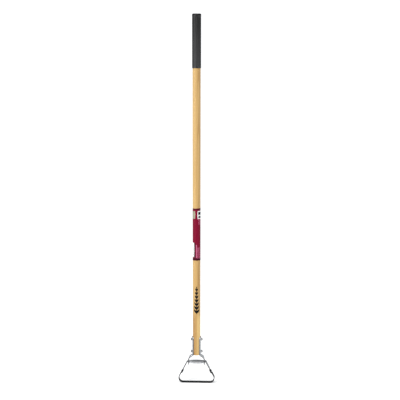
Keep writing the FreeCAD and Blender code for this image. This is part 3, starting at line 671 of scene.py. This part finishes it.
def sprig_tree():
    """A stem with pairs of leaves that grow smaller to its tip, printed round the handle."""
    tree = Tree("sprig", {"pairs": 7, "length": 0.097, "width": 0.017, "ink": 0.04 * MM,
                          "radius": 0.0155, "turn": 0.0, "rise": 0.3}, has_mesh=False)
    length, ink = tree.given("length"), tree.given("ink")
    pairs = tree.given("pairs")
    stem_size = tree.vector(3.0 * MM, ink, length)
    stem = tree.add("GeometryNodeMeshCube", {"Size": stem_size, "Vertices X": 3,
                                             "Vertices Z": 30})
    lift = tree.maths("MULTIPLY", length, 0.5)
    stem = tree.add("GeometryNodeTransform", {"Geometry": stem,
                                              "Translation": tree.vector(0.0, 0.0, lift)})
    # One leaf, pointing up from its stalk: its width swells and closes along its length.
    leaf_length = tree.maths("MULTIPLY", length, 0.18)
    half_leaf = tree.maths("MULTIPLY", leaf_length, 0.5)
    leaf_width = tree.maths("MULTIPLY", tree.given("width"), 0.48)
    leaf = tree.add("GeometryNodeMeshCube", {"Size": tree.vector(leaf_width, ink, leaf_length),
                                             "Vertices X": 7, "Vertices Z": 15})
    x, y, z = tree.parts_of(tree.add("GeometryNodeInputPosition"))
    along = tree.maths("DIVIDE", tree.maths("ADD", z, half_leaf), leaf_length)
    bulge = tree.maths("SINE", tree.maths("MULTIPLY", tree.maths("POWER", along, 0.8),
                                          math.pi))
    bulge = tree.maths("MAXIMUM", bulge, 0.04)
    shaped = tree.vector(tree.maths("MULTIPLY", x, bulge), y, tree.maths("ADD", z, half_leaf))
    leaf = tree.add("GeometryNodeSetPosition", {"Geometry": leaf, "Position": shaped})
    # Toward the tip the leaves shrink and stand up straighter.
    leaves = []
    for side in (-1.0, 1.0):
        last = tree.vector(0.0, 0.0, tree.maths("MULTIPLY", length, 0.84))
        points = tree.add("GeometryNodeMeshLine",
                          {"Count": pairs, "Start Location": (0.0, 0.0, 0.004),
                           "Offset": last}, mode="END_POINTS")
        index = tree.add("GeometryNodeInputIndex")
        share = tree.maths("DIVIDE", index, pairs)
        size = tree.maths("MULTIPLY_ADD", share, -0.45, 1.0)
        lean = tree.maths("MULTIPLY", tree.maths("MULTIPLY_ADD", share, -0.2, 0.62), side)
        turned = tree.vector(0.0, lean, 0.0)
        put_on = {"Points": points, "Instance": leaf, "Rotation": turned, "Scale": size}
        leaves.append(tree.add("GeometryNodeInstanceOnPoints", put_on))
    join = tree.group.nodes.new("GeometryNodeJoinGeometry")
    for piece in (stem, *leaves):
        tree.group.links.new(piece, join.inputs[0])
    whole = tree.add("GeometryNodeRealizeInstances", {0: join.outputs[0]})
    tree.end(wrap(tree, whole, tree.given("radius"), tree.given("turn"), tree.given("rise")))
    return tree


def print_tree():
    """Rows of short bars of uneven length, as small print looks from afar."""
    tree = Tree("print_rows", {"columns": 3, "rows": 12, "width": 0.006, "height": 0.03,
                               "fill": 0.7, "ink": 0.04 * MM, "radius": 0.0158,
                               "turn": 0.0, "rise": 0.5, "seed": 3}, has_mesh=False)
    width, height = tree.given("width"), tree.given("height")
    columns, rows = tree.given("columns"), tree.given("rows")
    grid = tree.add("GeometryNodeMeshGrid", {"Size X": width, "Size Y": height,
                                             "Vertices X": columns, "Vertices Y": rows})
    upright = tree.add("GeometryNodeTransform",
                       {"Geometry": grid, "Rotation": (math.pi / 2, 0.0, 0.0)})
    cell_width = tree.maths("DIVIDE", width, columns)
    cell_height = tree.maths("DIVIDE", height, rows)
    bar_size = tree.vector(cell_width, tree.given("ink"),
                           tree.maths("MULTIPLY", cell_height, tree.given("fill")))
    bar = tree.add("GeometryNodeMeshCube", {"Size": bar_size, "Vertices X": 4})
    random = tree.add("FunctionNodeRandomValue", {2: 0.35, 3: 0.98,
                                                  "Seed": tree.given("seed")}, 1)
    scale = tree.vector(random, 1.0, 1.0)
    bars = tree.add("GeometryNodeInstanceOnPoints", {"Points": upright, "Instance": bar,
                                                     "Scale": scale})
    whole = tree.add("GeometryNodeRealizeInstances", {0: bars})
    tree.end(wrap(tree, whole, tree.given("radius"), tree.given("turn"), tree.given("rise")))
    return tree


def thread_tree():
    """The crests of a screw thread along X, as rings."""
    tree = Tree("thread", {"turns": 2, "pitch": 1.0 * MM, "shank": 3.0 * MM,
                           "depth": 0.3 * MM, "start": (0.0, 0.0, 0.0)}, has_mesh=False)
    step = tree.vector(tree.given("pitch"), 0.0, 0.0)
    points = tree.add("GeometryNodeMeshLine", {"Count": tree.given("turns"),
                                               "Start Location": tree.given("start"),
                                               "Offset": step})
    ring = tree.add("GeometryNodeCurvePrimitiveCircle", {"Resolution": 40,
                                                         "Radius": tree.given("shank")})
    crest = tree.add("GeometryNodeCurvePrimitiveCircle", {"Resolution": 6,
                                                          "Radius": tree.given("depth")})
    thread = tree.add("GeometryNodeCurveToMesh", {0: ring, 1: crest})
    rings = tree.add("GeometryNodeInstanceOnPoints", {"Points": points, "Instance": thread,
                                                      "Rotation": (0.0, math.pi / 2, 0.0)})
    tree.end(rings)
    return tree


def from_tree(name, tree, material, **values):
    """A new object that holds only what the tree makes."""
    thing = put(name, bpy.data.meshes.new(name))
    return tree.run(thing, material, **values)


# ---------------------------------------------------------------- operators


def sizes():
    return bpy.context.scene.hoe_sizes


def colours():
    return bpy.context.scene.hoe_colours


class HOE_OT_handle(bpy.types.Operator):
    """Turn the wooden handle, with its eased end and its lacquered grain"""

    bl_idname = "hoe.handle"
    bl_label = "Handle"

    def execute(self, context):
        low, high = HANDLE_LOW.z, HANDLE_HIGH.z
        ease = 3.0 * MM
        flat = END_RADIUS - ease
        profile = [(0, low), (END_RADIUS * 0.45, low), (flat, low)]
        profile += rounded((flat, low), (END_RADIUS, low + ease), (flat, low + ease), 6)[1:]
        steps = 60
        for step in range(1, steps + 1):
            height = low + ease + (high - low - ease) * step / steps
            profile.append((wood_radius(height), height))
        profile.append((0, high))
        wood = ash_wood("lacquered_ash", colours())
        cut = ash_wood("ash_end_grain", colours(), end_grain=True)
        thing = lathe("handle_turned", profile, 96, [wood, cut], 50.0)
        for face in thing.data.polygons:
            if abs(face.normal.z) > 0.8 and face.center.z < low + ease / 2:
                face.material_index = 1
        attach(thing, "shaft")
        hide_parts("handle")
        return {"FINISHED"}


class HOE_OT_grip(bpy.types.Operator):
    """Mould the fluted rubber grip"""

    bl_idname = "hoe.grip"
    bl_label = "Grip"

    def execute(self, context):
        given = sizes()
        low, high = GRIP_LOW.z, GRIP_HIGH.z
        bore = HANDLE_HIGH.x + 0.06 * MM
        bore_top, chamfer = high - 3.0 * MM, 0.8 * MM
        rim, rim_low = GRIP_HIGH.x, high - given.rim
        lip = rim - 0.5 * MM
        shoulder, ease = 5.0 * MM, 1.2 * MM
        step, dimple = 0.35 * MM, 0.35 * MM
        profile = [(0, bore_top), (bore, bore_top), (bore, low + chamfer), (bore + chamfer, low)]
        profile += rounded((lip - ease, low), (lip, low + ease), (lip - ease, low + ease), 6)
        rows = 150
        for row in range(1, rows):
            share = row / rows
            height = low + ease + (rim_low - low - ease) * share
            profile.append((lip + (rim - step - lip) * share, height))
        profile += [(rim - step, rim_low - 0.1 * MM), (rim, rim_low + step)]
        corner = (rim - shoulder, high - shoulder)
        profile += rounded((rim, high - shoulder), (rim - shoulder, high), corner, 10)
        profile += [(rim * 0.5, high), (rim * 0.48, high - dimple)]
        profile += [(rim * 0.2, high - dimple), (0, high - dimple)]
        thing = lathe("grip_sleeve", profile, 288, [], 40.0)
        rubber = grip_rubber(colours(), lip - 0.75 * MM)
        flute_tree().run(thing, rubber, count=given.flutes,
                         depth=given.flute_depth, cutter=given.flute_radius,
                         start=low + given.collar, stop=rim_low - 0.5 * MM,
                         pitch_radius=(lip + rim) / 2)
        shade(thing.data, 40.0)
        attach(thing, "shaft")
        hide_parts("grip")
        return {"FINISHED"}


def wood_radius(height):
    """The handle's radius at a height: straight at both ends, with a taper between them."""
    straight, taper = HANDLE_LOW.z + STRAIGHT_BELOW, HANDLE_HIGH.z - STRAIGHT_ABOVE
    share = min(1.0, max(0.0, (height - straight) / (taper - straight)))
    return END_RADIUS + (HANDLE_HIGH.x - END_RADIUS) * share


def film_radius(height):
    """The film's outer radius at a height: it follows the handle's taper."""
    share = (height - LABEL_LOW.z) / (LABEL_HIGH.z - LABEL_LOW.z)
    return LABEL_HIGH.x - FILM_TAPER + FILM_TAPER * min(1.0, max(0.0, share))


def film_sleeve(thickness, slant):
    """The film as a closed sleeve, its upper edge leaning round the handle."""
    low, high = LABEL_LOW.z, LABEL_HIGH.z
    segments, rows = 120, 60
    shape = bmesh.new()
    layers = []
    for depth in (0.0, thickness):
        layer = []
        for row in range(rows + 1):
            line = []
            for number in range(segments):
                angle = math.tau * number / segments
                top = high - slant * 0.98 * (0.5 - 0.5 * math.sin(angle))
                height = low + (top - low) * row / rows
                reach = film_radius(height) - thickness + depth
                place = (reach * math.sin(angle), -reach * math.cos(angle), height)
                line.append(shape.verts.new(place))
            layer.append(line)
        layers.append(layer)
    inner, outer = layers
    for number in range(segments):
        after = (number + 1) % segments
        for row in range(rows):
            shape.faces.new((outer[row][number], outer[row][after],
                             outer[row + 1][after], outer[row + 1][number]))
            shape.faces.new((inner[row][after], inner[row][number],
                             inner[row + 1][number], inner[row + 1][after]))
        shape.faces.new((inner[0][number], inner[0][after],
                         outer[0][after], outer[0][number]))
        shape.faces.new((inner[rows][after], inner[rows][number],
                         outer[rows][number], outer[rows][after]))
    return finished_mesh("label_sleeve", shape)


class HOE_OT_label(bpy.types.Operator):
    """Wrap the film round the handle and print its panels"""

    bl_idname = "hoe.label"
    bl_label = "Label"

    def execute(self, context):
        given, tones = sizes(), colours()
        low, tall = LABEL_LOW.z, LABEL_HIGH.z - LABEL_LOW.z
        film = printed_film("label_film", tones.film)
        sleeve = put("label_sleeve", film_sleeve(0.2 * MM, given.slant), [film])
        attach(sleeve, "shaft")
        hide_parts("label")

        inks = [printed_film("dark_ink", tones.film_dark),
                printed_film("panel_ink", tones.panel),
                printed_film("white_ink", tones.ink_white, 0.9),
                printed_film("pink_ink", tones.ink_pink),
                printed_film("black_ink", tones.ink_black)]
        shape = bmesh.new()
        for slot, across, up, outline in label_panels(tall):
            heights = (low + up[0], low + up[1])
            radius = film_radius(sum(heights) / 2) + 0.012 * MM
            # Black is printed over white, so it stands a little higher.
            coats = given.ink * 1.5 if slot == BLACK else given.ink
            wrapped_block(shape, across, heights, radius, coats, outline, slot)
        panels = put("label_panels", finished_mesh("label_panels", shape), inks)
        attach(panels, "shaft")

        rows_of_bars = print_tree()
        for name, tone, place in small_print(tall):
            rise = low + place.pop("rise")
            thing = from_tree(f"label_{name}", rows_of_bars, inks[tone], ink=given.ink,
                              radius=film_radius(rise) + 0.06 * MM, rise=rise, **place)
            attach(thing, "shaft")
        return {"FINISHED"}


def label_panels(tall):
    """Each printed panel: its ink, its angles, its heights and how its sides curve."""
    top = tall - 11.7 * MM

    def bowed(left, right, bow_left, bow_right):
        def outline(share):
            bow = math.sin(math.pi * share)
            return left + bow_left * bow, right + bow_right * bow
        return outline

    return [
        (DARK, (-178, 178), (0.2 * MM, 9.6 * MM), None),
        (DARK, (-178, 178), (tall - 6.6 * MM, tall - 1.9 * MM), None),
        (PANEL, (-128, -20), (top - 30.7 * MM, top), bowed(-128, -20, 0, 4)),
        (WHITE, (19, 118), (top - 31.5 * MM, top + 0.8 * MM), bowed(19, 118, -4, 0)),
        (BLACK, (29, 96), (top - 15.0 * MM, top - 3.4 * MM), bowed(29, 96, -3, 6)),
        (BLACK, (27, 90), (top - 27.8 * MM, top - 20.4 * MM), bowed(27, 90, 4, -4)),
        (DARK, (-35, -11), (11 * MM, 71 * MM), bowed(-35, -11, 2, -3)),
        (PINK, (-5, 7), (11.5 * MM, 64 * MM), bowed(-5, 7, 1, -1)),
        (WHITE, (-100, -36), (13 * MM, 72.5 * MM), bowed(-100, -36, -5, 3)),
    ]


def small_print(tall):
    """Fields of small print: name, ink and the print tree's inputs."""
    top = tall - 11.7 * MM
    return [
        ("notes", PINK, {"columns": 4, "rows": 13, "width": 13.0 * MM, "height": 41 * MM,
                      "turn": math.radians(37), "rise": 31 * MM, "seed": 4}),
        ("lines", PINK, {"columns": 3, "rows": 9, "width": 9.6 * MM, "height": 21 * MM,
                      "turn": math.radians(52), "rise": top - 43 * MM, "seed": 9}),
        ("panel_lines", DARK, {"columns": 3, "rows": 10, "width": 9.0 * MM, "height": 26 * MM,
                            "turn": math.radians(-72), "rise": top - 15 * MM, "seed": 2}),
        ("bars", BLACK, {"columns": 3, "rows": 4, "width": 11.0 * MM, "height": 4.4 * MM,
                     "fill": 0.55, "turn": math.radians(58), "rise": top - 17.7 * MM,
                     "seed": 7}),
        ("back_notes", PINK, {"columns": 6, "rows": 30, "width": 30 * MM, "height": 96 * MM,
                           "turn": math.radians(180), "rise": 76 * MM, "seed": 5}),
        ("emblem_cuts", DARK, {"columns": 2, "rows": 12, "width": 8.0 * MM, "height": 54 * MM,
                            "fill": 0.35, "turn": math.radians(-62), "rise": 41 * MM,
                            "seed": 6}),
    ]


class HOE_OT_sprig(bpy.types.Operator):
    """Print the sprig of leaves on the bare wood"""

    bl_idname = "hoe.sprig"
    bl_label = "Printed sprig"

    def execute(self, context):
        given = sizes()
        rise = HANDLE_LOW.z + given.sprig_rise
        radius = wood_radius(rise + given.sprig_length)
        thing = from_tree("printed_sprig", sprig_tree(), wood_ink(colours()),
                          length=given.sprig_length, width=given.sprig_width, ink=given.ink,
                          radius=radius + 0.02 * MM + given.ink / 2, turn=math.radians(3),
                          rise=rise)
        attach(thing, "shaft")
        return {"FINISHED"}


class HOE_OT_straps(bpy.types.Operator):
    """Finish the two straps with eased edges and zinc plate"""

    bl_idname = "hoe.straps"
    bl_label = "Straps"

    def execute(self, context):
        # The strap zinc carries a painted highlight where the straps bow out below the wood.
        zinc = plated_steel("strap_zinc", colours().zinc, 0.26, 0.4, painted_light=bend_painted_highlight)
        # The cut edges are bare steel, painted much darker as the shade and dark reflection
        # along them.
        bare = plated_steel("sheared_edge", colours().strap_edge, 0.42, 0.6, (1, 1, 1))

        def is_cut(middle, normal):
            """The sheared edge turns with the strap: arm, then bend, then the clasp."""
            above_wood = middle.z - HANDLE_LOW.z
            if above_wood < -14 * MM:
                return abs(normal.x) < 0.45
            if above_wood < -6 * MM:
                return abs(normal.y) > 0.8
            outwards = Vector((middle.x, middle.y, 0)).normalized()
            is_upright = above_wood > 8 * MM or abs(normal.z) < 0.6
            return is_upright and abs(normal.dot(outwards)) < 0.4

        for side in ("left", "right"):
            thing = eased_copy(f"strap_{side}", sizes().steel_edge, [zinc, bare], is_cut)
            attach(thing, "shaft")
            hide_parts(f"strap_{side}")
        return {"FINISHED"}


class HOE_OT_fasteners(bpy.types.Operator):
    """Finish the bolts and nuts and cut the threads that show"""

    bl_idname = "hoe.fasteners"
    bl_label = "Bolts and nuts"

    def execute(self, context):
        given, tones = sizes(), colours()
        # A painted dark copy of the zinc for the bolts and their threads, and a painted light
        # copy for the nuts, to even out the key light.
        metals = {"bolt": plated_steel("bolt_zinc", tones.bolt, 0.4, 0.7, (0.1, 1, 1)),
                  "nut": plated_steel("nut_zinc", tones.nut, 0.4, 0.7, (0.1, 1, 1))}
        thread = thread_tree()
        for level, height in LEVELS.items():
            for kind, metal in metals.items():
                thing = eased_copy(f"{level}_{kind}", given.hex_edge, [metal])
                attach(thing, "shaft")
                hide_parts(f"{level}_{kind}")
            past_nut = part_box(f"{level}_nut")[1].x + 0.35 * MM
            rings = from_tree(f"{level}_thread", thread, metals["bolt"], turns=2,
                              pitch=given.thread_pitch, shank=2.86 * MM,
                              depth=0.22 * MM, start=(past_nut, 0.0, height))
            shade(rings.data, 80.0)
            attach(rings, "shaft")
        return {"FINISHED"}


class HOE_OT_stirrup(bpy.types.Operator):
    """Finish the frame, the blade and the rivets that rock together"""

    bl_idname = "hoe.stirrup"
    bl_label = "Stirrup"

    def execute(self, context):
        given, tones = sizes(), colours()
        # The frame's zinc carries painted highlights and a painted dark reflection on its
        # crossbar.
        zinc = plated_steel("frame_zinc", tones.frame_zinc, 0.28, 0.5, (1, 0.05, 1), bar_painted_reflections)
        # Its cut edges are bare steel, painted much darker as the shade and dark reflection
        # along them.
        bare = plated_steel("frame_edge", tones.sheared, 0.42, 0.6, (1, 1, 1))
        black = blackened_steel(tones)
        rivet = plated_steel("rivet_steel", tones.rivet, 0.32, 0.6, (1, 1, 1))
        under_bar = BAR_TOP - 5.9 * MM

        def is_cut(middle, normal):
            """Both edges of the legs, and the lower edge of the crossbar's turned sides."""
            side = middle.z < under_bar and abs(normal.y) > 0.7
            return side or (middle.z < under_bar + 1 * MM and normal.z < -0.9)

        work = [("stirrup_frame", given.steel_edge, [zinc, bare], "frame_steel", is_cut),
                ("blade", given.blade_edge, [black], "black_steel", None),
                ("rivet_left", given.blade_edge, [rivet], "rivet_steel", None),
                ("rivet_right", given.blade_edge, [rivet], "rivet_steel", None)]
        for node, edge, materials, slot, rule in work:
            thing = eased_copy(node, edge, materials, rule)
            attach(thing, "stirrup")
            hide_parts(node)
        return {"FINISHED"}


def soft_box(name, place, aim, size, watts):
    """A rectangular light that faces a point."""
    lamp = bpy.data.lights.new(name, "AREA")
    lamp.shape = "RECTANGLE"
    lamp.size, lamp.size_y = size
    lamp.energy = watts
    thing = bpy.data.objects.new(name, lamp)
    thing.location = place
    thing.rotation_euler = (Vector(aim) - Vector(place)).to_track_quat("-Z", "Y").to_euler()
    bpy.context.scene.collection.objects.link(thing)


def lay_floor():
    """A round sheet far wider than the view, a hair below the blade."""
    shape = bmesh.new()
    bmesh.ops.create_circle(shape, cap_ends=True, segments=96, radius=900.0)
    mesh = bpy.data.meshes.new("floor")
    shape.to_mesh(mesh)
    shape.free()
    floor = put("floor", mesh, [studio_floor()])
    floor.location.z = -0.5 * MM


def white_room():
    """Soft grey-white light from all round, seen by the camera as white paper."""
    world = bpy.data.worlds.new("studio")
    world.use_nodes = True
    nodes, links = world.node_tree.nodes, world.node_tree.links
    room = nodes["Background"]
    room.inputs["Color"].default_value = (0.94, 0.97, 1.0, 1.0)
    room.inputs["Strength"].default_value = 0.42
    paper = nodes.new("ShaderNodeBackground")
    paper.inputs["Color"].default_value = (1.0, 1.0, 1.0, 1.0)
    paper.inputs["Strength"].default_value = 1.1
    ray = nodes.new("ShaderNodeLightPath")
    choice = nodes.new("ShaderNodeMixShader")
    links.new(ray.outputs["Is Camera Ray"], choice.inputs[0])
    links.new(room.outputs[0], choice.inputs[1])
    links.new(paper.outputs[0], choice.inputs[2])
    links.new(choice.outputs[0], nodes["World Output"].inputs[0])
    return world


class HOE_OT_stage(bpy.types.Operator):
    """Set the pale floor, the soft lights and the camera"""

    bl_idname = "hoe.stage"
    bl_label = "Stage"

    def execute(self, context):
        scene = bpy.context.scene
        scene.view_settings.view_transform = "Standard"
        lay_floor()
        scene.world = white_room()

        overhead = bpy.data.lights.new("overhead", "SUN")
        overhead.energy = 1.8
        overhead.angle = math.radians(70)
        ceiling = bpy.data.objects.new("overhead", overhead)
        ceiling.rotation_euler = (math.radians(22), math.radians(-14), 0)
        scene.collection.objects.link(ceiling)
        soft_box("key", (-3.1, -3.1, 1.3), (0, 0, 0.75), (0.55, 2.6), 62)
        soft_box("fill", (2.8, -1.6, 1.3), (0, 0, 0.7), (0.8, 2.4), 9)

        camera = bpy.data.cameras.new("camera")
        camera.lens = 122.6
        camera.sensor_width = 36.0
        camera.shift_x, camera.shift_y = 0.0085, 0.0049
        camera.clip_end = 2000
        eye = bpy.data.objects.new("camera", camera)
        distance, height = 5.4, 1.5
        round_by, down = math.radians(3.3), math.radians(8.0)
        eye.location = (distance * math.sin(round_by), -distance * math.cos(round_by), height)
        ahead = Vector((-math.sin(round_by) * math.cos(down),
                        math.cos(round_by) * math.cos(down), -math.sin(down)))
        eye.rotation_euler = ahead.to_track_quat("-Z", "Y").to_euler()
        scene.collection.objects.link(eye)
        scene.camera = eye
        return {"FINISHED"}


class HOE_PT_parts(bpy.types.Panel):
    """Every piece of the hoe, in the order it is made"""

    bl_label = "Stirrup Hoe"
    bl_idname = "HOE_PT_parts"
    bl_space_type = "VIEW_3D"
    bl_region_type = "UI"
    bl_category = "Hoe"

    def draw(self, context):
        for operator in OPERATORS:
            self.layout.operator(operator.bl_idname)


OPERATORS = (HOE_OT_handle, HOE_OT_grip, HOE_OT_label, HOE_OT_sprig, HOE_OT_straps,
             HOE_OT_fasteners, HOE_OT_stirrup, HOE_OT_stage)
CLASSES = (HoeSizes, HoeColours, *OPERATORS, HOE_PT_parts)


def register():
    for cls in CLASSES:
        bpy.utils.register_class(cls)
    bpy.types.Scene.hoe_sizes = PointerProperty(type=HoeSizes)
    bpy.types.Scene.hoe_colours = PointerProperty(type=HoeColours)


def unregister():
    del bpy.types.Scene.hoe_colours
    del bpy.types.Scene.hoe_sizes
    for cls in reversed(CLASSES):
        bpy.utils.unregister_class(cls)


def main():
    register()
    for operator in OPERATORS:
        group, name = operator.bl_idname.split(".")
        getattr(getattr(bpy.ops, group), name)()


if __name__ == "__main__":
    main()
